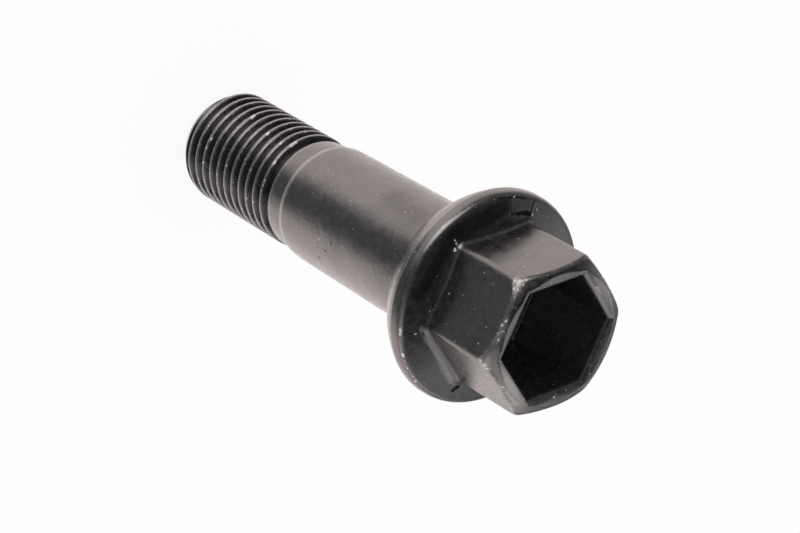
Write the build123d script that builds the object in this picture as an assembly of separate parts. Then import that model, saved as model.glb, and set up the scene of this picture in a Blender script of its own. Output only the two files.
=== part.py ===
from build123d import *
import math
import os

# Wheel bolt with a ball seat, cold forged in one piece.
# Millimetres. +Z runs up the bolt's axis, from the tip to the head.
# The origin is the centre of the flat end of the tip.

# Threaded end. The M14 x 1.5 thread is a plain cylinder here, as wide as its crests.
thread_diameter = 13.9
thread_length = 18.8          # from the flat end to the last turn
tip_lead_depth = 1.0          # how far the tip's lead-in stands back from the crests
tip_lead_angle = 32           # degrees, between the lead-in and the axis

# Neck and shank
neck_diameter = 13.5          # where the thread ends
neck_length = 2.5
neck_flare_angle = 5          # degrees a side, wider towards the shank
shoulder_step = 0.16          # radial height of the small step above the neck
shoulder_length = 2.2         # along the axis, until the shank is at its full width
shank_diameter = 14.5         # at the top of the shoulder
shank_taper_angle = 0.53      # degrees a side, wider towards the head
seat_root_radius = 1.0        # inside corner between the shank and the seat

# Flange and ball seat
under_head_length = 50.5      # from the flat end to the back edge of the flange
seat_radius = 14.0            # spherical seat behind the flange
seat_margin = 1.25            # the flange is this much smaller than the sphere, so 25.5 across
rim_height = 1.62             # back edge to the edge where the face begins
rim_back_chamfer = 0.2
rim_barrel_radius = 1.8       # the side of the rim curves inwards on its way to the face
rim_barrel_angle = 34         # degrees, how far it curves
face_slope_angle = 13.5       # degrees, the face climbs from the rim to the hexagon

# Hexagon head
head_height = 13.5            # back edge of the flange to the end face
hex_across_flats = 17.0
hex_edge_radius = 0.9
hex_base_radius = 0.9         # inside corner between the flats and the flange's face
end_chamfer_inset = 0.3       # the end chamfer starts this far inside the flats
end_chamfer_angle = 33        # degrees, between the chamfer and the end face

# Hexagon socket in the head
head_wall = 2.05              # between a flat of the head and a flat of the socket
socket_depth = 12.5
socket_floor_chamfer = 0.5
lip_radius = 0.95             # round lip at the socket's mouth
lip_steps = 3                 # flat bands that the lip is cut in

# Places that follow from the sizes above
thread_radius = thread_diameter / 2
neck_radius = neck_diameter / 2
shank_radius = shank_diameter / 2
flange_radius = seat_radius - seat_margin
tip_lead_length = tip_lead_depth / math.tan(math.radians(tip_lead_angle))
shoulder_z = thread_length + neck_length
shank_z = shoulder_z + shoulder_length
face_edge_z = under_head_length + rim_height
end_z = under_head_length + head_height
seat_centre_z = under_head_length + math.sqrt(seat_radius**2 - flange_radius**2)
barrel_angle = math.radians(rim_barrel_angle)
barrel_z = face_edge_z - rim_barrel_radius * math.sin(barrel_angle)
face_edge_radius = flange_radius - rim_barrel_radius * (1 - math.cos(barrel_angle))
socket_across_flats = hex_across_flats - 2 * head_wall
shank_taper = math.tan(math.radians(shank_taper_angle))
shoulder_radius = neck_radius + neck_length * math.tan(math.radians(neck_flare_angle))
hex_corner_radius = hex_across_flats / math.sqrt(3)


def face_z(radius):
    """Height of the flange's sloping face at a distance from the axis."""
    return face_edge_z + (face_edge_radius - radius) * math.tan(math.radians(face_slope_angle))


def seat_corner():
    """Where the tapered shank meets the sphere of the seat: a line cut with a circle."""
    start = shank_radius + shank_taper * (seat_centre_z - shank_z)
    a = 1 + shank_taper**2
    b = start * shank_taper
    drop = (b + math.sqrt(b**2 - a * (start**2 - seat_radius**2))) / a
    return start - shank_taper * drop, seat_centre_z - drop


def turned_profile():
    """Half section of everything that is round: tip, thread, neck, shank, seat and flange."""
    seat_r, seat_z = seat_corner()
    mid_angle = (math.atan2(seat_z - seat_centre_z, seat_r)
                 + math.atan2(under_head_length - seat_centre_z, flange_radius)) / 2
    seat_mid = (seat_radius * math.cos(mid_angle), seat_centre_z + seat_radius * math.sin(mid_angle))
    outline = Polyline(
        (0, 0),
        (thread_radius - tip_lead_depth, 0),
        (thread_radius, tip_lead_length),
        (thread_radius, thread_length),
        (neck_radius, thread_length + thread_radius - neck_radius),
        (shoulder_radius, shoulder_z),
        (shoulder_radius + shoulder_step, shoulder_z + shoulder_step),
        (shank_radius, shank_z),
        (seat_r, seat_z),
    )
    outline += ThreePointArc((seat_r, seat_z), seat_mid, (flange_radius, under_head_length))
    outline += Line((flange_radius, under_head_length), (flange_radius, barrel_z))
    outline += TangentArc((flange_radius, barrel_z), (face_edge_radius, face_edge_z), tangent=(0, 1))
    outline += Polyline((face_edge_radius, face_edge_z), (0, face_z(0)), (0, 0))
    face = make_face(Plane.XZ * outline)
    face = fillet(at_corner(face, seat_r, seat_z), seat_root_radius)
    return chamfer(at_corner(face, flange_radius, under_head_length), rim_back_chamfer)


def at_corner(face, r, z):
    """The corner of a half section nearest to a point."""
    return face.vertices().sort_by_distance(Vector(r, 0, z))[0]


def turned_body():
    return revolve(turned_profile(), Axis.Z)


def hexagon(across_flats):
    """A hexagon with two of its corners on the X axis."""
    return RegularPolygon(across_flats / 2, 6, major_radius=False)


def hex_head():
    """The hexagon prism, with rounded edges and a conical chamfer at its end."""
    prism = Pos(0, 0, face_edge_z) * extrude(hexagon(hex_across_flats), end_z - face_edge_z)
    prism = fillet(prism.edges().filter_by(Axis.Z), hex_edge_radius)
    end_radius = hex_across_flats / 2 - end_chamfer_inset
    drop = (hex_corner_radius - end_radius) * math.tan(math.radians(end_chamfer_angle))
    envelope = Polyline(
        (0, face_edge_z),
        (hex_corner_radius, face_edge_z),
        (hex_corner_radius, end_z - drop),
        (end_radius, end_z),
        (0, end_z),
        (0, face_edge_z),
    )
    return prism & revolve(make_face(Plane.XZ * envelope), Axis.Z)


def hex_socket():
    """The hollow of the head: a hexagon with a chamfered floor, opening into a round lip."""
    hollow = extrude(hexagon(socket_across_flats), socket_depth)
    hollow = chamfer(hollow.faces().sort_by(Axis.Z)[0].edges(), socket_floor_chamfer)
    for step in range(lip_steps):
        hollow += lip_band(90 * step / lip_steps, 90 * (step + 1) / lip_steps)
    return Pos(0, 0, end_z - socket_depth) * hollow


def lip_band(start_angle, end_angle):
    """One flat band of the lip all round, between two angles of its quarter circle."""
    loops = []
    for angle in (math.radians(start_angle), math.radians(end_angle)):
        opening = socket_across_flats + 2 * lip_radius * (1 - math.cos(angle))
        height = socket_depth - lip_radius * (1 - math.sin(angle))
        loops.append(Pos(0, 0, height) * hexagon(opening))
    return loft(loops, ruled=True)


def base_edges(body):
    """The inside corner all round the hexagon, where it stands on the flange's face."""
    lowest, highest = face_z(hex_corner_radius), face_z(hex_across_flats / 2)
    margin = hex_edge_radius / 4
    return body.edges().filter_by_position(Axis.Z, lowest - margin, highest + margin)


def wheel_bolt():
    body = turned_body() + hex_head()
    body = fillet(base_edges(body), hex_base_radius)
    return body - hex_socket()


os.makedirs("parts", exist_ok=True)
export_step(wheel_bolt(), "parts/wheel_bolt.step")
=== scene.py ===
import math
import bmesh
import bpy
import numpy as np
from mathutils import Matrix, Vector


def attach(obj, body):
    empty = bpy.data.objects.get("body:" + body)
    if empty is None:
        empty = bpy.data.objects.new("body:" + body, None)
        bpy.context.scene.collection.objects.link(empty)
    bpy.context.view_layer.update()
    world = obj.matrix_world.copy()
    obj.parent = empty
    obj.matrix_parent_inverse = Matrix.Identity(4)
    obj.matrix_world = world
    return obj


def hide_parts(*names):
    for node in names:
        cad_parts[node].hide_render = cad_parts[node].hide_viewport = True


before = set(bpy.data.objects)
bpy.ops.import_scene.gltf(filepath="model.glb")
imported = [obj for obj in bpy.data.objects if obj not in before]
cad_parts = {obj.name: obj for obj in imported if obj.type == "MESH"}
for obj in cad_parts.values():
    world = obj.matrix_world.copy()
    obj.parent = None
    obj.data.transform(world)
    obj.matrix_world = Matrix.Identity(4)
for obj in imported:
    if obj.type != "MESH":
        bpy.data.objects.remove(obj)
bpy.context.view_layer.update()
print("frame loaded")

mm = 0.001


def degTan(angle):
    return math.tan(math.radians(angle))


# One wrapper for sockets, used by the thread's tree and by the finishes
class Wire:
    def __init__(self, tree, socket=None):
        self.tree = tree
        self.socket = socket

    def make(self, kind, settings=None, inputs=None, output=0):
        node = self.tree.nodes.new(kind)
        for name, value in (settings or {}).items():
            setattr(node, name, value)
        for name, value in (inputs or {}).items():
            if isinstance(value, Wire):
                self.tree.links.new(value.socket, node.inputs[name])
            else:
                node.inputs[name].default_value = value
        return Wire(self.tree, node.outputs[output] if node.outputs else None)

    def out(self, output):
        return Wire(self.tree, self.socket.node.outputs[output])

    def math(self, operation, *others):
        values = dict(enumerate((self, *others)))
        return self.make("ShaderNodeMath", {"operation": operation}, values)

    def vector(self, operation, *others, output=0):
        values = dict(enumerate((self, *others)))
        return self.make("ShaderNodeVectorMath", {"operation": operation}, values, output)

    def __add__(self, other):
        return self.math("ADD", other)

    def __radd__(self, other):
        return self.math("ADD", other)

    def __sub__(self, other):
        return self.math("SUBTRACT", other)

    def __rsub__(self, other):
        return self.make("ShaderNodeMath", {"operation": "SUBTRACT"}, {0: other, 1: self})

    def __mul__(self, other):
        return self.math("MULTIPLY", other)

    def __rmul__(self, other):
        return self.math("MULTIPLY", other)

    def __truediv__(self, other):
        return self.math("DIVIDE", other)

    def atLeast(self, other):
        return self.math("MAXIMUM", other)

    def atMost(self, other):
        return self.math("MINIMUM", other)

    def ease(self, low, high, start=0.0, end=1.0):
        # A smooth ramp from start to end while the value runs from low to high
        settings = {"interpolation_type": "SMOOTHSTEP"}
        return self.make("ShaderNodeMapRange", settings, {0: self, 1: low, 2: high, 3: start, 4: end})

    def blend(self, first, second):
        # Colour: first where the value is 0, second where it is 1
        settings = {"data_type": "RGBA"}
        return self.make("ShaderNodeMix", settings, {0: self, 6: first, 7: second}, 2)


def newTree(owner):
    owner.use_nodes = True
    owner.node_tree.nodes.clear()
    return Wire(owner.node_tree)


# The bolt in millimetres and degrees, from the tip at z 0 up to the head. A corner of the
# hexagon lies over +X, at angle 0. Wear and rubbing run from 0 to 1
boltSet = {
    "tipRadius": 5.95,
    "tipLeadAngle": 32,
    "crestRadius": 6.94,
    "pitch": 1.5,
    "threadDepth": 0.80,
    "crestWidth": 0.36,
    "flankAngle": 30,
    "rootRounding": 0.12,
    "crestRounding": 0.20,
    "crestWear": 0.42,
    "wearStart": 1.6,          # above the lead-in
    "threadStart": 2.23,       # a crest lies over +X at this height
    "threadEnd": 18.6,
    "reliefStart": 17.6,       # the crests run down into a groove before the neck
    "reliefEnd": 18.0,
    "reliefRadius": 6.25,
    "reliefBevel": 0.4,
    "neckRadius": 6.75,
    "neckStart": (0.01, 0.12), # the neck begins this far out and up from the thread's end
    "neckEnd": (-0.008, -0.1), # and ends this far from the shoulder
    "neckRub": 0.5,
    "shoulderZ": 21.25,
    "shoulderRadius": 6.96,
    "shoulderStep": 0.19,
    "shoulderRise": 1.7,       # the step climbs this much for each millimetre outwards
    "shoulderRounding": 0.09,
    "shoulderWays": ((-0.09, -1), (0.5, 0.87)),         # directions away from the soft corner
    "shoulderTopRounding": 0.34,
    "shoulderTopWays": ((-0.5, -0.87), (0.08, 0.99)),
    "shoulderRub": 0.6,
    "shankZ": 23.5,
    "shankRadius": 7.25,
    "shankTaper": 0.53,
    "shankRub": (0.8, 2.7),    # at the step, and its fall over the way up to the full width
    "seatRadius": 14.0,
    "seatEdge": 12.75,         # radius where the seat's sphere would meet the flange's back
    "seatRounding": 0.75,
    "seatStop": 0.9,           # the sphere stops this short of it, for the rim's soft edge
    "flangeRadius": 12.74,
    "flangeBackZ": 50.5,
    "rimBack": 0.18,
    "rimBackWear": 0.5,
    "rimBackRub": 0.5,
    "barrelZ": 51.11,          # from here the rim curves inwards
    "barrelRadius": 1.8,
    "barrelTurn": 34,
    "rimEdge": 0.42,
    "rimWear": 0.2,
    "faceSlope": 13.5,         # the flange's face climbs to the hexagon
    "acrossFlats": 17.0,
    "hexEdge": 0.9,
    "hexBase": 0.52,
    "endZ": 63.995,
    "endRadius": 8.0,
    "endDish": 4.5,            # the ring round the socket dips towards it
    "endAngle": 33,
    "endBlend": 0.2,
    "endSoftness": 0.34,       # reach of the soft edge between the flats and the end's cone
    "cornerReach": 9,          # it is softer this near to a corner
    "cornerSofter": 0.5,
    "knockSofter": 0.4,
    "endWear": 0.3,
    "coneWear": 0.7,
    "socketFlats": 12.9,
    "lipRadius": 0.87,
    "lipBlend": 0.03,
    "lipWear": 0.3,
    "socketDepth": 12.5,
    "floorRounding": 0.8,
}

# Where the bolt is uneven: angle, reach to each side in degrees, and amount
unevenSet = {
    "knocks": ((-57, 13, 1.0), (-22, 18, 0.8), (2, 16, 1.0), (24, 18, 0.8), (50, 18, 0.9), (-155, 22, 0.9)),
    "endRub": ((30, 55, 0.8), (-150, 40, 0.48)),
    "rimWearMore": ((5, 40, 0.45),),
    "rimEdgeMore": ((-74, 32, 0.675),),
    "rimEdgeMost": 0.45,       # the rim is rounder there, by no more than this
    "hexBaseMore": ((30, 42, 1.55),),
    "hexBaseMost": 0.62,       # and so is the inside corner round the hexagon
}

# How finely the surface is divided, with sizes in millimetres
meshSet = {
    "cornerSpan": 4.3,         # degrees each side of a hexagon's corner that get close columns
    "cornerColumns": 10,
    "flatColumns": 16,
    "tipRings": (1.6, 3.4, 4.8, 5.6),
    "threadSteps": (0.0, 0.10, 0.24, 0.38, 0.48, 0.54, 0.61, 0.75),      # from a root to a crest
    "shoulderSteps": (0.17, 0.23, 0.32, 0.42, 0.55, 0.7, 0.85, 1.0),
    "wallSteps": (0.03, 0.1, 0.3, 0.55, 0.8, 1.0),
    "floorRings": (0.75, 0.5, 0.25),
    "keeper": 0.02,            # a row this close to a soft edge keeps the side beside it flat
    "weld": 0.002,
    "sharpAngle": 38,
    "rows": {
        "neck": 7, "shoulder": 3, "shoulderTop": 6, "shank": 20, "seatRoot": 6, "seat": 16,
        "rimBack": 4, "rimSide": 2, "barrel": 9, "rimEdge": 8, "face": 12, "hexBase": 8,
        "flats": 12, "endEdge": 6, "ring": 16, "lip": 8, "floorEdge": 6,
    },
}

halfFlat = 30      # degrees from the middle of a hexagon's flat to its corner


def columnAngles():
    # Angles round the bolt, closer together at the six corners of the head
    span = meshSet["cornerSpan"]
    near = np.linspace(-span, span, meshSet["cornerColumns"] + 1)
    after = np.linspace(span, halfFlat, meshSet["flatColumns"] + 1)[1:]
    before = -after[:-1][::-1]
    sector = np.concatenate([before, near, after])
    return np.radians(np.concatenate([corner * 2 * halfFlat + sector for corner in range(6)]))


angles = columnAngles()
fromFlat = np.abs((np.degrees(angles) % (2 * halfFlat)) - halfFlat)      # degrees from a flat's middle
flatTurn = np.radians(fromFlat)


def hump(middle, reach):
    # 1 at an angle round the bolt, falling to 0 as far as reach to each side
    off = np.abs((np.degrees(angles) - middle + 180) % 360 - 180)
    return np.cos(np.pi / 2 * np.clip(off / reach, 0, 1))**2


def uneven(name):
    # The amount of an unevenness at every column
    return np.max([amount * hump(middle, reach) for middle, reach, amount in unevenSet[name]], axis=0)


def roundHexagon(apothem, corner):
    # Distance from the axis to a hexagon with rounded corners, at every column
    halfTurn = math.radians(halfFlat)
    centre = (apothem - corner) / math.cos(halfTurn)
    toCorner = halfTurn - flatTurn
    inside = np.maximum(corner**2 - (centre * np.sin(toCorner))**2, 0)
    arc = centre * np.cos(toCorner) + np.sqrt(inside)
    onFlat = apothem * np.tan(flatTurn) <= (apothem - corner) * math.tan(halfTurn)
    return np.where(onFlat, apothem / np.cos(flatTurn), arc)


# A row is a loop of the surface: its radius, its height, how chipped it is and how rubbed
rows = []
climbing = []      # numbers of the rows that climb with the thread


def addRow(radius, z, wear=0.0, rubbed=0.0):
    full = np.ones(len(angles))
    rows.append([full * radius, full * z, full * wear, full * rubbed])


def addLine(start, end, count):
    # Rows along a straight run of the section, after its first point
    for step in range(1, count + 1):
        t = step / count
        addRow(start[0] + (end[0] - start[0]) * t, start[1] + (end[1] - start[1]) * t)


def addArc(centre, radius, startAngle, endAngle, count):
    for step in range(1, count + 1):
        a = np.radians(startAngle + (endAngle - startAngle) * step / count)
        addRow(centre[0] + radius * np.cos(a), centre[1] + radius * np.sin(a))


def onSoftCorner(corner, comeFrom, goTo, reach, t):
    # A point of a rounded corner: comeFrom and goTo lead away from it, reach is how far it extends
    a, b = reach * (1 - t)**2, reach * t**2
    return corner[0] + a * comeFrom[0] + b * goTo[0], corner[1] + a * comeFrom[1] + b * goTo[1]


def addSoftCorner(corner, comeFrom, goTo, reach, count, wear=0.0, rubbed=0.0):
    # The wear is greatest halfway round, with a trace of it at both ends
    for step in range(count + 1):
        t = step / count
        share = math.sin(math.pi * t)**0.5 if 0 < t < 1 else 0.3
        addRow(*onSoftCorner(corner, comeFrom, goTo, reach, t), wear * share, rubbed)


def tipAndThreadRows():
    s = boltSet
    leadSlope = degTan(s["tipLeadAngle"])
    for radius in meshSet["tipRings"]:
        addRow(radius, 0)
    # The rows of the thread climb with it, so that every crest and root is a line of the mesh
    steps = meshSet["threadSteps"]
    offsets = [-step for step in steps[::-1]] + list(steps[1:-1])
    climb = s["pitch"] * angles / (2 * math.pi)
    turns = int(s["threadEnd"] / s["pitch"]) + 3
    for turn in range(-2, turns):
        rootZ = s["threadStart"] + (turn - 1.5) * s["pitch"]
        for offset in offsets:
            z = np.clip(rootZ + offset + climb, 0, s["threadEnd"])
            radius = np.minimum(s["tipRadius"] + z * leadSlope, s["crestRadius"])
            radius = np.where(z >= s["threadEnd"], s["neckRadius"], radius)
            onCrest = (abs(offset) > s["pitch"] / 3) & (z > s["wearStart"]) & (z < s["reliefStart"])
            climbing.append(len(rows))
            addRow(radius, z, s["crestWear"] * onCrest)


def seatCentreZ():
    s = boltSet
    return s["flangeBackZ"] + math.sqrt(s["seatRadius"]**2 - s["seatEdge"]**2)


def shankRows():
    s, count = boltSet, meshSet["rows"]
    out, up = s["neckStart"]
    neck = Vector((s["neckRadius"] + out, s["threadEnd"] + up))
    shoulder = Vector((s["shoulderRadius"], s["shoulderZ"]))
    top = shoulder + Vector((1, s["shoulderRise"])) * s["shoulderStep"]
    addRow(*neck, rubbed=s["neckRub"])
    addLine(neck, shoulder + Vector(s["neckEnd"]), count["neck"])
    addSoftCorner(shoulder, *s["shoulderWays"], s["shoulderRounding"], count["shoulder"],
                  rubbed=s["shoulderRub"])
    addSoftCorner(top, *s["shoulderTopWays"], s["shoulderTopRounding"], count["shoulderTop"],
                  rubbed=s["shoulderRub"])
    # The shank swells from the step to its full width
    shankStart = Vector((s["shankRadius"], s["shankZ"]))
    taper = degTan(s["shankTaper"])
    run = shankStart - top
    rub, fall = s["shankRub"]
    for t in meshSet["shoulderSteps"]:
        swell = run.x * (1 - (1 - t)**2) + taper * run.y * t * (t - 1)
        addRow(top.x + swell, top.y + run.y * t, rubbed=max(0, rub - fall * t))
    # The tapered shank runs to the sphere of the seat: a line cut with a circle
    centreZ = seatCentreZ()
    wide = s["shankRadius"] + taper * (centreZ - s["shankZ"])
    a, b = 1 + taper**2, wide * taper
    drop = (b + math.sqrt(b**2 - a * (wide**2 - s["seatRadius"]**2))) / a
    root = Vector((wide - taper * drop, centreZ - drop))
    soft = s["seatRounding"]
    slope = math.atan2(-drop, root.x)
    addLine(shankStart, root - Vector((0, soft)), count["shank"])
    addSoftCorner(root, (0, -1), (-math.sin(slope), math.cos(slope)), soft, count["seatRoot"])
    startAngle = math.degrees(slope + soft / s["seatRadius"])
    endAngle = math.degrees(math.atan2(s["flangeBackZ"] - centreZ, s["seatEdge"])) - s["seatStop"]
    addArc((0, centreZ), s["seatRadius"], startAngle, endAngle, count["seat"])


def rimEdge():
    # Where the curved side of the rim ends in an edge
    s = boltSet
    turn = math.radians(s["barrelTurn"])
    return (s["flangeRadius"] - s["barrelRadius"] * (1 - math.cos(turn)),
            s["barrelZ"] + s["barrelRadius"] * math.sin(turn))


def faceZ(radius):
    # Height of the flange's face
    edge = rimEdge()
    return edge[1] + (edge[0] - radius) * degTan(boltSet["faceSlope"])


def baseRadius():
    # The inside corner round the hexagon, at every column
    return boltSet["hexBase"] + np.minimum(uneven("hexBaseMore"), unevenSet["hexBaseMost"])


def cross(first, second):
    return first[0] * second[1] - first[1] * second[0]


def rimRows():
    # The back edge, the side and the soft front edge of the rim. Gives the radius where the face starts
    s, count = boltSet, meshSet["rows"]
    wide, back = s["flangeRadius"], s["flangeBackZ"]
    downSeat = ((back - seatCentreZ()) / s["seatRadius"], -s["seatEdge"] / s["seatRadius"])
    addSoftCorner((wide, back), downSeat, (0, 1), s["rimBack"], count["rimBack"],
                  s["rimBackWear"], s["rimBackRub"])
    keeper = (wide, back + s["rimBack"] + meshSet["keeper"])
    addRow(*keeper)
    addLine(keeper, (wide, s["barrelZ"]), count["rimSide"])
    barrel, edge = s["barrelRadius"], rimEdge()
    soft = s["rimEdge"] + np.minimum(uneven("rimEdgeMore"), unevenSet["rimEdgeMost"])
    stop = math.radians(s["barrelTurn"]) - soft / barrel
    centre = (wide - barrel, s["barrelZ"])
    addArc(centre, barrel, 0, np.degrees(stop), count["barrel"])
    # From the end of that curve, its tangent runs on to meet the face at the soft edge's corner
    end = (centre[0] + barrel * np.cos(stop), centre[1] + barrel * np.sin(stop))
    downRim = (np.sin(stop), -np.cos(stop))
    slope = math.radians(s["faceSlope"])
    onFace = (-math.cos(slope), math.sin(slope))
    reach = cross((edge[0] - end[0], edge[1] - end[1]), onFace) / cross(onFace, downRim)
    corner = (end[0] - reach * downRim[0], end[1] - reach * downRim[1])
    wear = s["rimWear"] + uneven("rimWearMore")
    addSoftCorner(corner, downRim, onFace, reach, count["rimEdge"], wear)
    return corner[0] - reach * math.cos(slope)


def faceRows(start):
    # The sloping face from the rim to the hexagon, and the round inside corner there
    s, count = boltSet, meshSet["rows"]
    half, edge, base = s["acrossFlats"] / 2, s["hexEdge"], baseRadius()
    foot = roundHexagon(half + base, edge + base)
    for step in range(1, count["face"] + 1):
        radius = start + (foot - start) * step / count["face"]
        addRow(radius, faceZ(radius))
    for step in range(1, count["hexBase"] + 1):
        a = math.pi / 2 * step / count["hexBase"]
        out = base * (1 - math.sin(a))
        radius = roundHexagon(half + out, edge + out)
        addRow(radius, faceZ(radius) + base * (1 - math.cos(a)))


def headRows():
    # The flats, and their soft edge to the end's cone
    s, count = boltSet, meshSet["rows"]
    knocks = uneven("knocks")
    flank = roundHexagon(s["acrossFlats"] / 2, s["hexEdge"])
    bottom = faceZ(flank) + baseRadius()
    fall = math.radians(s["endAngle"])
    edgeZ = s["endZ"] - (flank - s["endRadius"]) * math.tan(fall)
    corner = 1 - np.clip((halfFlat - fromFlat) / s["cornerReach"], 0, 1)
    soft = s["endSoftness"] * (1 + s["cornerSofter"] * corner) + s["knockSofter"] * corner * knocks
    for step in range(1, count["flats"] + 1):
        addRow(flank, bottom + (edgeZ - soft - bottom) * step / count["flats"])
    endWear, upCone = s["endWear"], (-math.cos(fall), math.sin(fall))
    for step in range(count["endEdge"] + 1):
        point = onSoftCorner((flank, edgeZ), (0, -1), upCone, soft, step / count["endEdge"])
        addRow(*point, endWear * knocks if step == 0 else endWear + (1 - endWear) * knocks)


def softMin(first, second, blend):
    near = np.maximum(blend - np.abs(first - second), 0) / blend
    return np.minimum(first, second) - near**2 * blend / 4


def endTop(radius):
    # Height of the end of the head: a flat ring between the cone outside and the socket's round lip
    s = boltSet
    half, lip = s["socketFlats"] / 2, s["lipRadius"]
    cone = s["endZ"] - (radius - s["endRadius"]) * degTan(s["endAngle"])
    dish = s["endZ"] - np.maximum(s["endRadius"] - radius, 0) * degTan(s["endDish"])
    inward = np.clip(half + lip - radius * np.cos(flatTurn), 0, lip)
    drop = (s["endRadius"] - half - lip) * degTan(s["endDish"])
    lipTop = s["endZ"] - drop - lip + np.sqrt(lip**2 - inward**2)
    lipTop = np.where(inward > 0, lipTop, np.inf)
    return softMin(softMin(cone, dish, s["endBlend"]), lipTop, s["lipBlend"])


def endRows():
    # The cone and the ring of the end, and the socket's lip
    s, count = boltSet, meshSet["rows"]
    start, rub, across = rows[-1][0], uneven("endRub"), np.cos(flatTurn)
    half, lip = s["socketFlats"] / 2, s["lipRadius"]
    wear = s["coneWear"] * uneven("knocks")
    lipStart = (half + lip) / across
    for step in range(1, count["ring"] + 1):
        t = step / count["ring"]
        radius = start + (lipStart - start) * t
        addRow(radius, endTop(radius), wear * max(0, 1 - t / 0.75), rub)
    for step in range(1, count["lip"] + 1):
        t = step / count["lip"]
        radius = (half + lip * (1 - math.sin(math.pi / 2 * t))) / across
        upper = t < 0.5
        addRow(radius, endTop(radius), s["lipWear"] * upper, rub * upper)


def socketRows():
    s, count = boltSet, meshSet["rows"]
    half, rounding = s["socketFlats"] / 2, s["floorRounding"]
    wallTop, floorZ = s["endZ"] - s["lipRadius"], s["endZ"] - s["socketDepth"]
    for t in meshSet["wallSteps"]:
        addRow(half / np.cos(flatTurn), wallTop + (floorZ + rounding - wallTop) * t)
    for step in range(1, count["floorEdge"] + 1):
        a = math.pi / 2 * step / count["floorEdge"]
        inward = rounding * (1 - math.cos(a))
        addRow(roundHexagon(half - inward, inward), floorZ + rounding * (1 - math.sin(a)))
    floorEdge = rows[-1][0]
    for t in meshSet["floorRings"]:
        addRow(floorEdge * t, floorZ)


def skin(name):
    # Joins the rows into one closed mesh, with the values of wear and rubbing kept on its points
    count = len(angles)
    points, wear, rubbed = [], [], []
    for radius, z, worn, shiny in rows:
        points += list(zip(radius * np.cos(angles) * mm, radius * np.sin(angles) * mm, z * mm))
        wear += list(worn)
        rubbed += list(shiny)
    bottom, top = len(points), len(points) + 1
    points += [(0, 0, 0), (0, 0, rows[-1][1][0] * mm)]
    wear += [0, 0]
    rubbed += [0, 0]
    faces = []
    turnRows = 2 * len(meshSet["threadSteps"]) - 2
    for i in range(len(rows) - 1):
        for j in range(count - 1):
            faces.append((i * count + j, i * count + j + 1, (i + 1) * count + j + 1, (i + 1) * count + j))
        # Once round, a climbing row meets the one a pitch above it
        climbs = i in climbing and i + 1 in climbing
        low = min(i + turnRows, climbing[-1]) if climbs else i
        high = min(i + 1 + turnRows, climbing[-1]) if climbs else i + 1
        if low < high:
            faces.append((i * count + count - 1, low * count, high * count, (i + 1) * count + count - 1))
    last = (len(rows) - 1) * count
    for j in range(count):
        k = (j + 1) % count
        faces.append((bottom, k, j))
        faces.append((top, last + j, last + k))
    mesh = bpy.data.meshes.new(name)
    mesh.from_pydata(points, [], faces)
    for key, values in (("edgeWear", wear), ("rubbed", rubbed)):
        mesh.attributes.new(key, "FLOAT", "POINT").data.foreach_set("value", np.array(values, np.float32))
    form = bmesh.new()
    form.from_mesh(mesh)
    bmesh.ops.remove_doubles(form, verts=form.verts, dist=meshSet["weld"] * mm)
    bmesh.ops.recalc_face_normals(form, faces=form.faces)
    form.to_mesh(mesh)
    form.free()
    return mesh


tipAndThreadRows()
shankRows()
faceRows(rimRows())
headRows()
endRows()
socketRows()
boltMesh = skin("wheelBoltBlank")
bolt = bpy.data.objects.new("wheelBolt", boltMesh)
bpy.context.scene.collection.objects.link(bolt)
print("bolt blank:", len(boltMesh.vertices), "points")


# The thread is rolled into the blank by Geometry Nodes
threadSet = {
    "Pitch": boltSet["pitch"] * mm,
    "Crest Height": boltSet["threadStart"] * mm,
    "Crest Radius": boltSet["crestRadius"] * mm,
    "Depth": boltSet["threadDepth"] * mm,
    "Crest Width": boltSet["crestWidth"] * mm,
    "Root Rounding": boltSet["rootRounding"] * mm,
    "Crest Rounding": boltSet["crestRounding"] * mm,
    "Relief Start": boltSet["reliefStart"] * mm,
    "Relief End": boltSet["reliefEnd"] * mm,
    "Relief Radius": boltSet["reliefRadius"] * mm,
    "Relief Bevel": boltSet["reliefBevel"] * mm,
    "Neck Radius": boltSet["neckRadius"] * mm,
    "End": boltSet["threadEnd"] * mm,
}


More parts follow.
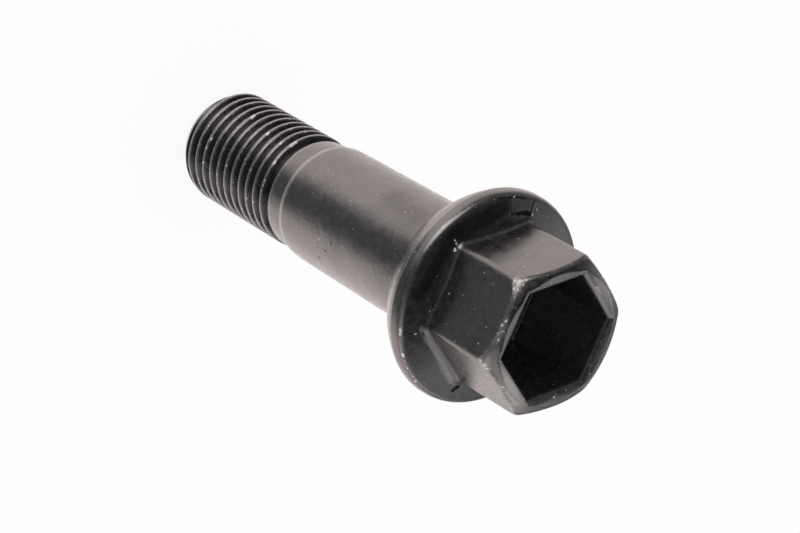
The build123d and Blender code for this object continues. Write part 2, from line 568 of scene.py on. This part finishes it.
def threadRoller(finish):
    tree = bpy.data.node_groups.new("rollThread", "GeometryNodeTree")
    tree.interface.new_socket("Geometry", in_out="INPUT", socket_type="NodeSocketGeometry")
    for name in threadSet:
        tree.interface.new_socket(name, in_out="INPUT", socket_type="NodeSocketFloat")
    tree.interface.new_socket("Geometry", in_out="OUTPUT", socket_type="NodeSocketGeometry")
    given = Wire(tree).make("NodeGroupInput")
    sizes = {name: given.out(name) for name in threadSet}
    place = given.make("ShaderNodeSeparateXYZ", None, {0: given.make("GeometryNodeInputPosition")})
    x, y, z = place.out(0), place.out(1), place.out(2)
    radius = (x * x + y * y).math("SQRT")
    turn = y.math("ARCTAN2", x) / (2 * math.pi)
    # Axial distance from the nearest root: half a pitch on a crest
    phase = ((z - sizes["Crest Height"]) / sizes["Pitch"] - turn).math("FRACT")
    fromRoot = (phase - 0.5).math("ABSOLUTE") * sizes["Pitch"]
    crestEdge = (sizes["Pitch"] - sizes["Crest Width"]) * 0.5
    flank = (crestEdge - fromRoot) / degTan(boltSet["flankAngle"])
    depth = flank.math("SMOOTH_MIN", sizes["Depth"], sizes["Root Rounding"])
    depth = depth.math("SMOOTH_MAX", 0.0, sizes["Crest Rounding"])
    # Towards its end the thread runs down into the groove
    run = ((z - sizes["Relief Start"]) / (sizes["Relief End"] - sizes["Relief Start"])).ease(0.0, 1.0)
    limit = sizes["Crest Radius"] + run * (sizes["Relief Radius"] - sizes["Crest Radius"])
    left = (z - sizes["End"]) / sizes["Relief Bevel"] + 1
    limit = limit + left.ease(0.0, 1.0) * (sizes["Neck Radius"] - sizes["Relief Radius"])
    thread = (sizes["Crest Radius"] - depth).atMost(limit)
    leastRadius = 0.01 * mm        # keeps the division safe on the axis
    squeeze = radius.atMost(thread) / radius.atLeast(leastRadius)
    moved = place.make("ShaderNodeCombineXYZ", None, {0: x * squeeze, 1: y * squeeze, 2: z})
    chosen = place.make("FunctionNodeCompare", {"operation": "LESS_THAN"}, {0: z, 1: sizes["End"]})
    placed = place.make("GeometryNodeSetPosition", None,
                        {"Geometry": given.out("Geometry"), "Selection": chosen, "Position": moved})
    real = placed.make("GeometryNodeRealizeInstances", None, {0: placed})
    done = real.make("GeometryNodeSetMaterial", None, {"Geometry": real, "Material": finish})
    done.make("NodeGroupOutput", None, {0: done})
    return tree


def applyRoller(piece, tree, values):
    roller = piece.modifiers.new("rollThread", "NODES")
    roller.node_group = tree
    for item in tree.interface.items_tree:
        if item.in_out == "INPUT" and item.name in values:
            roller[item.identifier] = values[item.name]
    bpy.context.view_layer.update()
    graph = bpy.context.evaluated_depsgraph_get()
    plain = bpy.data.meshes.new_from_object(piece.evaluated_get(graph))
    piece.modifiers.remove(roller)
    piece.data = plain


# The coating, with sizes and heights in millimetres
coatSet = {
    "coat": (0.276, 0.266, 0.264, 1),
    "dark": (0.226, 0.219, 0.218, 1),
    "bare": (0.82, 0.77, 0.75, 1),
    # Near black for pits, folds and specks, and for the painted shade and painted dark reflection
    "pitAndPaintedShade": (0.03, 0.03, 0.03, 1),
    "metal": 0.966,            # the rest is a trace of matt oxide
    "bareMetal": 0.36,
    "roughness": (0.22, 0.33), # on the low and on the high scale
    "bareRoughness": 0.15,     # bare steel is rougher by this
    # Patterns: size of a cell, detail and roughness
    "patterns": {
        "waves": (3.6, 2.0, 0.45),
        "scale": (0.9, 3.0, 0.6),
        "grain": (0.28, 3.0, 0.6),
        "patch": (4.5, 3.0, 0.5),
        "chips": (0.6, 3.0, 0.65),
        "flecks": (0.28, 2.0, 0.6),
    },
    # Relief: height of a pattern, and the share of it that the smoother head has
    "relief": {"waves": (0.09, 0.15), "scale": (0.030, 0.06), "grain": (0.009, 0.10)},
    "headZ": (49.5, 51.5),
    "foldDepth": 0.12,
    # Shade: how much each pattern counts, and the range in which dark turns to light
    "shade": {"scale": 0.4, "patch": 0.35, "grain": 0.25},
    "shadeRange": (0.36, 0.64),
    "scaleRange": (0.3, 0.7),
    # Bare steel shows where wear, chips and flecks together pass a level, and a little where worn
    "wearPull": 0.26,
    "wearLevel": 1.30,
    "wearEdge": 0.06,
    "wearEvenly": 0.36,
    "rub": (0.35, 0.4),        # evenly, and with the grain
    # Specks: one small spot in some of the cells, bright in a few and dark in others
    "speckCell": 0.8,
    "speckSize": (0.05, 0.13),
    "darkLot": (0.30, 0.28),
    "darkSpecks": 0.75,
    "brightLot": (0.80, 1.0),
    "brightSpecks": 0.7,
    # The thread's roots are dark, partly from the grease and oxide left in them and partly as painted
    # shade, from the first radius to the second, and up to its end
    "rootRadii": (6.85, 6.5),
    "rootEnd": (18.6, 18.2),
    "rootDark": 0.48,
    # How dark the painted dark reflection on the shank is
    "darkReflectionShare": (0.05, 0.4), # evenly, and with the scale
    # How dark the painted shade on the flange's face is
    "faceShadeDark": 0.6,
    "ragged": 0.4,             # how ragged the edges of folds and scratches are
}

# Marks of forging and handling, and painted shade and a painted dark reflection, as lines between two
# points given by radius, angle and height in millimetres and degrees, then half the width and the softness
# of its edge
# A dark reflection painted on the shank
darkReflectionSet = {
    "shankDarkReflection": ((7.4, -76, 36.8), (7.45, -70, 42.5), 0.1, 2.7),
}

# Shade painted on the flange's face beside the hexagon
faceShadeSet = {
    "faceShadeOne": ((11.3, -98, 52.5), (11.2, -60, 52.5), 0.5, 1.0),
    "faceShadeTwo": ((11.2, -60, 52.5), (11.0, -22, 52.5), 0.3, 0.9),
}

foldSet = {
    "rimFoldOne": ((12.22, -95, 52.15), (12.17, -104, 52.2), 0.02, 0.12),
    "rimFoldTwo": ((12.17, -106.2, 52.2), (12.18, -117, 52.15), 0.03, 0.13),
    "faceFold": ((11.95, -120.4, 52.2), (10.85, -119.4, 52.5), 0.09, 0.14),
    "streakTail": ((10.32, -104, 52.7), (10.42, -110, 52.6), 0.03, 0.2),
    "streakMiddle": ((10.40, -108.5, 52.65), (10.53, -114, 52.6), 0.15, 0.18),
    "streakEnd": ((10.53, -114, 52.6), (10.58, -119.3, 52.6), 0.22, 0.18),
    "slit": ((11.0, 60.6, 52.5), (10.5, 62.4, 52.7), 0.22, 0.12),
    "dentOne": ((7.33, -9.2, 31.9), (7.33, -8.6, 32.1), 0.02, 0.16),
    "dentTwo": ((7.32, 1.1, 30.8), (7.32, 1.4, 31.1), 0.02, 0.16),
    "dentThree": ((7.31, 13.5, 29.3), (7.31, 13.8, 29.5), 0.01, 0.16),
}

scratchSet = {
    "cornerLine": ((11.1, -59.4, 52.5), (10.2, -59.9, 52.7), 0.0, 0.07),
    "cornerSpeck": ((10.2, -59.2, 52.7), (9.9, -58.4, 52.9), 0.06, 0.10),
    "cornerFleck": ((9.9, -56.5, 52.75), (9.8, -55.5, 52.8), 0.06, 0.08),
    "foldSpeck": ((12.2, -105.3, 52.2), (12.18, -105.7, 52.2), 0.03, 0.10),
    "streakSpeck": ((10.75, -121.2, 52.6), (10.55, -121.6, 52.6), 0.02, 0.10),
    "stripTip": ((11.0, 2.6, 52.6), (10.8, 3.6, 52.6), 0.04, 0.10),
    "flatSpeckOne": ((9.3, -11, 52.9), (9.3, -11.4, 52.9), 0.03, 0.08),
    "flatSpeckTwo": ((9.11, -8.9, 55.8), (9.1, -8.5, 55.85), 0.0, 0.07),
    "flatSpeckThree": ((9.28, -53.7, 57.95), (9.26, -53.5, 58.0), 0.02, 0.08),
    "flatSpeckFour": ((9.05, -50, 59.9), (9.04, -49.8, 59.9), 0.0, 0.08),
    "flatSpeckFive": ((8.6, -21.2, 61.5), (8.6, -21.6, 61.5), 0.0, 0.08),
    "flatSpeckSix": ((9.11, -8.9, 61.4), (9.1, -8.6, 61.4), 0.0, 0.08),
    "nickOne": ((6.94, -80, 8.0), (6.94, -77, 8.1), 0.14, 0.14),
    "nickTwo": ((6.94, -78, 17.1), (6.94, -71, 17.15), 0.10, 0.14),
    "nickThree": ((6.94, -71, 12.5), (6.94, -69, 12.6), 0.12, 0.12),
    "nickFour": ((6.94, -48.5, 17.2), (6.94, -46, 17.25), 0.10, 0.12),
    "nickFive": ((6.94, -91, 13.9), (6.94, -88, 14.4), 0.05, 0.10),
    "nickSix": ((6.94, -69, 15.6), (6.94, -67, 15.65), 0.08, 0.12),
    "nickSeven": ((6.94, -31, 4.2), (6.94, -29, 4.2), 0.08, 0.12),
    "nickEight": ((6.94, -37, 5.3), (6.94, -35, 5.3), 0.08, 0.12),
    "rimNickOne": ((12.5, 1, 52.0), (12.5, 2, 52.0), 0.06, 0.10),
    "rimNickTwo": ((12.5, 14, 52.0), (12.45, 15, 52.05), 0.08, 0.12),
    "rimNickThree": ((12.5, 23, 52.0), (12.5, 24, 52.0), 0.05, 0.10),
    "rimNickFour": ((12.5, 33.5, 52.0), (12.48, 34.5, 52.0), 0.05, 0.10),
}


def onBolt(radius, angle, z):
    return Vector((radius * math.cos(math.radians(angle)), radius * math.sin(math.radians(angle)), z))


def lineMarks(point, marks, ragged=0.0):
    # 1 on any of the lines, falling to 0 at the soft edge of each
    total = 0.0
    for first, second, width, soft in marks.values():
        start = onBolt(*first)
        run = onBolt(*second) - start
        fromStart = point.vector("SUBTRACT", start)
        along = fromStart.vector("DOT_PRODUCT", run / run.length_squared, output=1)
        along = along.atLeast(0.0).atMost(1.0)
        nearest = point.make("ShaderNodeVectorMath", {"operation": "SCALE"}, {0: run, 3: along})
        away = fromStart.vector("SUBTRACT", nearest).vector("LENGTH", output=1) + ragged
        total = away.ease(width, width + soft, 1.0, 0.0).atLeast(total)
    return total


def blackSteelFinish():
    s = coatSet
    material = bpy.data.materials.new("blackSteel")
    tree = newTree(material)
    coord = tree.make("ShaderNodeTexCoord").out("Object")
    point = tree.make("ShaderNodeVectorMath", {"operation": "SCALE"}, {0: coord, 3: 1 / mm})
    wear = tree.make("ShaderNodeAttribute", {"attribute_name": "edgeWear"}).out("Fac")
    rubbed = tree.make("ShaderNodeAttribute", {"attribute_name": "rubbed"}).out("Fac")
    axes = tree.make("ShaderNodeSeparateXYZ", None, {0: point})
    x, y, z = axes.out(0), axes.out(1), axes.out(2)
    patterns = {}
    for name, (size, detail, roughness) in s["patterns"].items():
        patterns[name] = tree.make("ShaderNodeTexNoise", None, {
            "Vector": point, "Scale": 1 / size, "Detail": detail, "Roughness": roughness})
    scale, grain, chips = patterns["scale"], patterns["grain"], patterns["chips"]

    # The coat, darker in patches, in the thread's roots where shade is partly painted, and where shade is
    # painted on the flange's face and a dark reflection on the shank
    shade = sum(patterns[name] * share for name, share in s["shade"].items())
    colour = shade.ease(*s["shadeRange"]).blend(s["dark"], s["coat"])
    # Painted shade on the flange's face
    colour = (lineMarks(point, faceShadeSet) * s["faceShadeDark"]).blend(colour, s["pitAndPaintedShade"])
    evenly, withScale = s["darkReflectionShare"]
    # A painted dark reflection on the shank, mottled by the scale
    darkReflection = lineMarks(point, darkReflectionSet) * (evenly + scale * withScale)
    # The thread's roots darkened, partly grease and oxide and partly painted shade
    roots = (x * x + y * y).math("SQRT").ease(*s["rootRadii"]) * z.ease(*s["rootEnd"]) * s["rootDark"]
    colour = darkReflection.atLeast(roots).blend(colour, s["pitAndPaintedShade"])

    # Specks and bare steel, and the folds over all
    cells = tree.make("ShaderNodeTexVoronoi", None, {"Vector": point, "Scale": 1 / s["speckCell"]})
    lot = tree.make("ShaderNodeSeparateColor", None, {0: cells.out("Color")})
    spot = cells.ease(*s["speckSize"], 1.0, 0.0)
    darkSpecks = spot * lot.ease(*s["darkLot"]) * s["darkSpecks"]
    brightSpecks = spot * lot.ease(*s["brightLot"]) * s["brightSpecks"]
    evenly, withGrain = s["rub"]
    worn = wear * s["wearPull"] + chips + patterns["flecks"] - s["wearLevel"]
    worn = worn.ease(0.0, s["wearEdge"]).atLeast(wear * s["wearEvenly"])
    worn = worn.atLeast(brightSpecks).atLeast(rubbed * (evenly + grain * withGrain))
    ragged = (chips - 0.5) * s["ragged"]
    worn = worn.atLeast(lineMarks(point, scratchSet, ragged))
    folds = lineMarks(point, foldSet, ragged)
    colour = darkSpecks.blend(colour, s["pitAndPaintedShade"])
    colour = worn.blend(colour, s["bare"])
    colour = folds.blend(colour, s["pitAndPaintedShade"])
    metal = s["metal"] - worn * (s["metal"] - s["bareMetal"])
    rough = scale.ease(*s["scaleRange"], *s["roughness"]) + worn * s["bareRoughness"]

    # Relief
    head = z.ease(*s["headZ"])
    height = folds * -s["foldDepth"]
    for name, (high, kept) in s["relief"].items():
        height = height + patterns[name] * high * (1 - head * (1 - kept))
    bump = tree.make("ShaderNodeBump", None, {"Strength": 1.0, "Distance": mm, "Height": height})
    steel = tree.make("ShaderNodeBsdfPrincipled", None, {
        "Base Color": colour, "Metallic": metal, "Roughness": rough, "Normal": bump})
    tree.make("ShaderNodeOutputMaterial", None, {"Surface": steel})
    return material


blackSteel = blackSteelFinish()
print("coating mixed")
applyRoller(bolt, threadRoller(blackSteel), threadSet)
bolt.data.polygons.foreach_set("use_smooth", [True] * len(bolt.data.polygons))
bolt.data.set_sharp_from_angle(angle=math.radians(meshSet["sharpAngle"]))
print("thread rolled:", len(bolt.data.polygons), "faces")

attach(bolt, "root")
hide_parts("wheel_bolt")


# The floor and what the steel mirrors of it. Angles are in degrees, and a reach is a pair of
# distances from the bolt in millimetres, where something starts and where it is complete
studioSet = {
    "floorSize": 6000,
    "floorWhite": (0.93, 0.93, 0.93, 1),
    "floorGlow": 0.92,         # share of the floor's white that doesn't depend on the lamps
    "floorMirrored": (1.0, 0.915, 0.905, 1),
    "cardTint": (0.98, 0.975, 0.975, 1),
    "cardAzimuth": -24,        # a black card lies in front and shows only in reflections
    "cardHalfWidth": (14, 50), # from dark to light
    "cardDark": 0.15,
    "footReach": (7.5, 10.5),  # nearer than this the card leaves the floor white
    "bendReach": (45, 115),    # further out the card bends round by some degrees
    "bend": 15,
    "widenReach": (47, 62),    # and for a stretch it is wider by some degrees
    "narrowReach": (72, 88),
    "widen": 10,
    "farReach": (60, 420),     # the floor falls to a lower level far away
    "farLevel": 0.42,
    "nearReach": (45, 75),     # and is brighter close by on the far side: azimuth, half widths
    "nearBright": (120, 45, 95, 1.25),      # where that starts and ends, and brightness
    "dimReach": (70, 200),     # and dimmer beyond here on two sides
    "dimSides": ((132, 25, 50, 0.28), (-138, 16, 45, 0.35)),
    "roomLight": 0.85,         # the white room as a lamp
    "roomDark": 0.012,         # and as the steel sees it between the panels
    "lampAim": 35,             # height that the lamps point at
}

# White panels that the steel mirrors: azimuth and height of the middle, half width, half height
# and softness of the edges in degrees, and brightness
panelSet = {
    "low": (-67, 8, 11, 14, 12, 1.8),
    "rimGlint": (-84, 35, 16, 8, 10, 1.55),
    "rimSide": (32, 32, 12, 5, 10, 0.35),
    "coneSide": (90, 26, 14, 5, 8, 0.8),
    "coneTop": (48, 52, 14, 6, 8, 0.4),
    "faceGlow": (160, 33, 10, 7, 8, 0.18),
    "side": (64, 9, 22, 5, 10, 0.55),
    "sideCore": (50, 7, 4, 5, 10, 0.40),
    "back": (142, 37, 12, 6, 12, 0.6),
    "backSide": (110, 40, 10, 3, 12, 0.38),
    "backLow": (150, 0, 45, 6, 20, 0.25),
    "walls": (0, 0, 180, 12, 26, 0.09),
}

# Lamps for the floor's shadow: azimuth and height in degrees, distance and size in metres, and
# brightness where white is 1
lampSet = {
    "sideLamp": (70, 50, 0.7, 0.45, 0.35),
    "backLamp": (148, 60, 0.7, 0.60, 0.35),
}


def direction(azimuth, height):
    a, e = math.radians(azimuth), math.radians(height)
    return Vector((math.cos(a) * math.cos(e), math.sin(a) * math.cos(e), math.sin(e)))


def turnFrom(x, y, azimuth, shift=0.0):
    # Degrees between a direction and an azimuth, whichever way round; shift moves the azimuth on
    ahead = direction(azimuth, 0)
    along = x * ahead.x + y * ahead.y
    aside = y * ahead.x - x * ahead.y
    return (aside.math("ARCTAN2", along) * (180 / math.pi) - shift).math("ABSOLUTE")


def mirroredFloor(x, y):
    # Colour and brightness of the floor in reflections
    s = studioSet
    away = (x * x + y * y).math("SQRT")

    def over(reach, first=0.0, last=1.0):
        return away.ease(s[reach][0] * mm, s[reach][1] * mm, first, last)

    turn = turnFrom(x, y, s["cardAzimuth"], over("bendReach", 0.0, s["bend"]))
    turn = turn - over("widenReach", 0.0, s["widen"]) * over("narrowReach", 1.0, 0.0)
    foot = over("footReach", 1.0, 0.0)
    shut = turn.ease(*s["cardHalfWidth"], 1.0, 0.0) * (1 - foot)
    card = 1 - shut * (1 - s["cardDark"])
    tint = shut.atLeast(foot).blend(s["floorMirrored"], s["cardTint"])
    azimuth, near, wide, level = s["nearBright"]
    more = turnFrom(x, y, azimuth).ease(near, wide, 1.0, 0.0) * over("nearReach", 1.0, 0.0) * (level - 1)
    glow = card * over("farReach", 1.0, s["farLevel"]) * (1 + more)
    beyond = over("dimReach")
    for azimuth, near, wide, level in s["dimSides"]:
        side = turnFrom(x, y, azimuth).ease(near, wide, 1.0, 0.0) * beyond
        glow = glow * (1 - side * (1 - level))
    return tint, glow


def paleFloorFinish():
    s = studioSet
    material = bpy.data.materials.new("paleFloor")
    tree = newTree(material)
    axes = tree.make("ShaderNodeSeparateXYZ", None, {0: tree.make("ShaderNodeTexCoord").out("Object")})
    tint, glow = mirroredFloor(axes.out(0), axes.out(1))
    rays = tree.make("ShaderNodeLightPath")
    matt = tree.make("ShaderNodeBsdfDiffuse", None, {"Color": s["floorWhite"]})
    seen = tree.make("ShaderNodeEmission", None, {"Color": (1, 1, 1, 1), "Strength": 1.0})
    mirrored = tree.make("ShaderNodeEmission", None, {"Color": tint, "Strength": glow})
    white = tree.make("ShaderNodeMixShader", None, {
        0: rays.out("Is Camera Ray") * s["floorGlow"], 1: matt, 2: seen})
    both = tree.make("ShaderNodeMixShader", None, {0: rays.out("Is Glossy Ray"), 1: white, 2: mirrored})
    tree.make("ShaderNodeOutputMaterial", None, {"Surface": both})
    return material


def addFloor():
    half = studioSet["floorSize"] * mm / 2
    corners = [(-half, -half, 0), (half, -half, 0), (half, half, 0), (-half, half, 0)]
    mesh = bpy.data.meshes.new("studioFloor")
    mesh.from_pydata(corners, [], [(0, 1, 2, 3)])
    mesh.materials.append(paleFloorFinish())
    floor = bpy.data.objects.new("studioFloor", mesh)
    bpy.context.scene.collection.objects.link(floor)


def addLamps():
    middle = Vector((0, 0, studioSet["lampAim"] * mm))
    for name, (azimuth, height, distance, size, bright) in lampSet.items():
        lamp = bpy.data.lights.new(name, "AREA")
        lamp.shape = "DISK"
        lamp.size = size
        lamp.energy = bright * math.pi * math.pi * (size / 2)**2       # pi times the disc's area
        holder = bpy.data.objects.new(name, lamp)
        towards = direction(azimuth, height)
        holder.location = middle + towards * distance
        holder.rotation_euler = towards.to_track_quat("Z", "Y").to_euler()
        holder.visible_camera = False
        holder.visible_glossy = False
        bpy.context.scene.collection.objects.link(holder)


def addWhiteRoom():
    s = studioSet
    world = bpy.data.worlds.new("whiteRoom")
    bpy.context.scene.world = world
    tree = newTree(world)
    rays = tree.make("ShaderNodeLightPath")
    camera, glossy = rays.out("Is Camera Ray"), rays.out("Is Glossy Ray")
    axes = tree.make("ShaderNodeSeparateXYZ", None, {0: tree.make("ShaderNodeTexCoord").out("Generated")})
    height = axes.out(2).math("ARCSINE") * (180 / math.pi)
    mirrored = s["roomDark"]
    for azimuth, middle, halfWidth, halfHeight, soft, bright in panelSet.values():
        turn = turnFrom(axes.out(0), axes.out(1), azimuth)
        lift = (height - middle).math("ABSOLUTE")
        across = turn.ease(halfWidth, halfWidth + soft, bright, 0.0)
        mirrored = across * lift.ease(halfHeight, halfHeight + soft, 1.0, 0.0) + mirrored
    level = s["roomLight"] + camera * (1 - s["roomLight"]) + glossy * (mirrored - s["roomLight"])
    back = tree.make("ShaderNodeBackground", None, {"Color": (1, 1, 1, 1), "Strength": level})
    tree.make("ShaderNodeOutputWorld", None, {"Surface": back})


addFloor()
addLamps()
addWhiteRoom()
print("floor and lights placed")

# The camera in degrees and millimetres, seen from the point that it aims at
cameraSet = {
    "azimuth": -40.48,
    "elevation": 45.3,
    "roll": 121.04,
    "distance": 371.0,
    "aim": (1.32, 1.54, 37.22),
    "lens": 145.63,
    "clipStart": 10,
}


def addCamera():
    s = cameraSet
    back = direction(s["azimuth"], s["elevation"])
    level = Vector((0, 0, 1)).cross(back).normalized()
    upright = back.cross(level)
    roll = math.radians(s["roll"])
    across = level * math.cos(roll) + upright * math.sin(roll)
    up = back.cross(across)
    turn = Matrix((across, up, back)).transposed().to_4x4()
    camera = bpy.data.objects.new("camera", bpy.data.cameras.new("camera"))
    camera.data.lens = s["lens"]
    camera.data.clip_start = s["clipStart"] * mm
    camera.matrix_world = Matrix.Translation((Vector(s["aim"]) + back * s["distance"]) * mm) @ turn
    bpy.context.scene.collection.objects.link(camera)
    bpy.context.scene.camera = camera


addCamera()
bpy.context.scene.view_settings.view_transform = "Standard"
print("camera set")
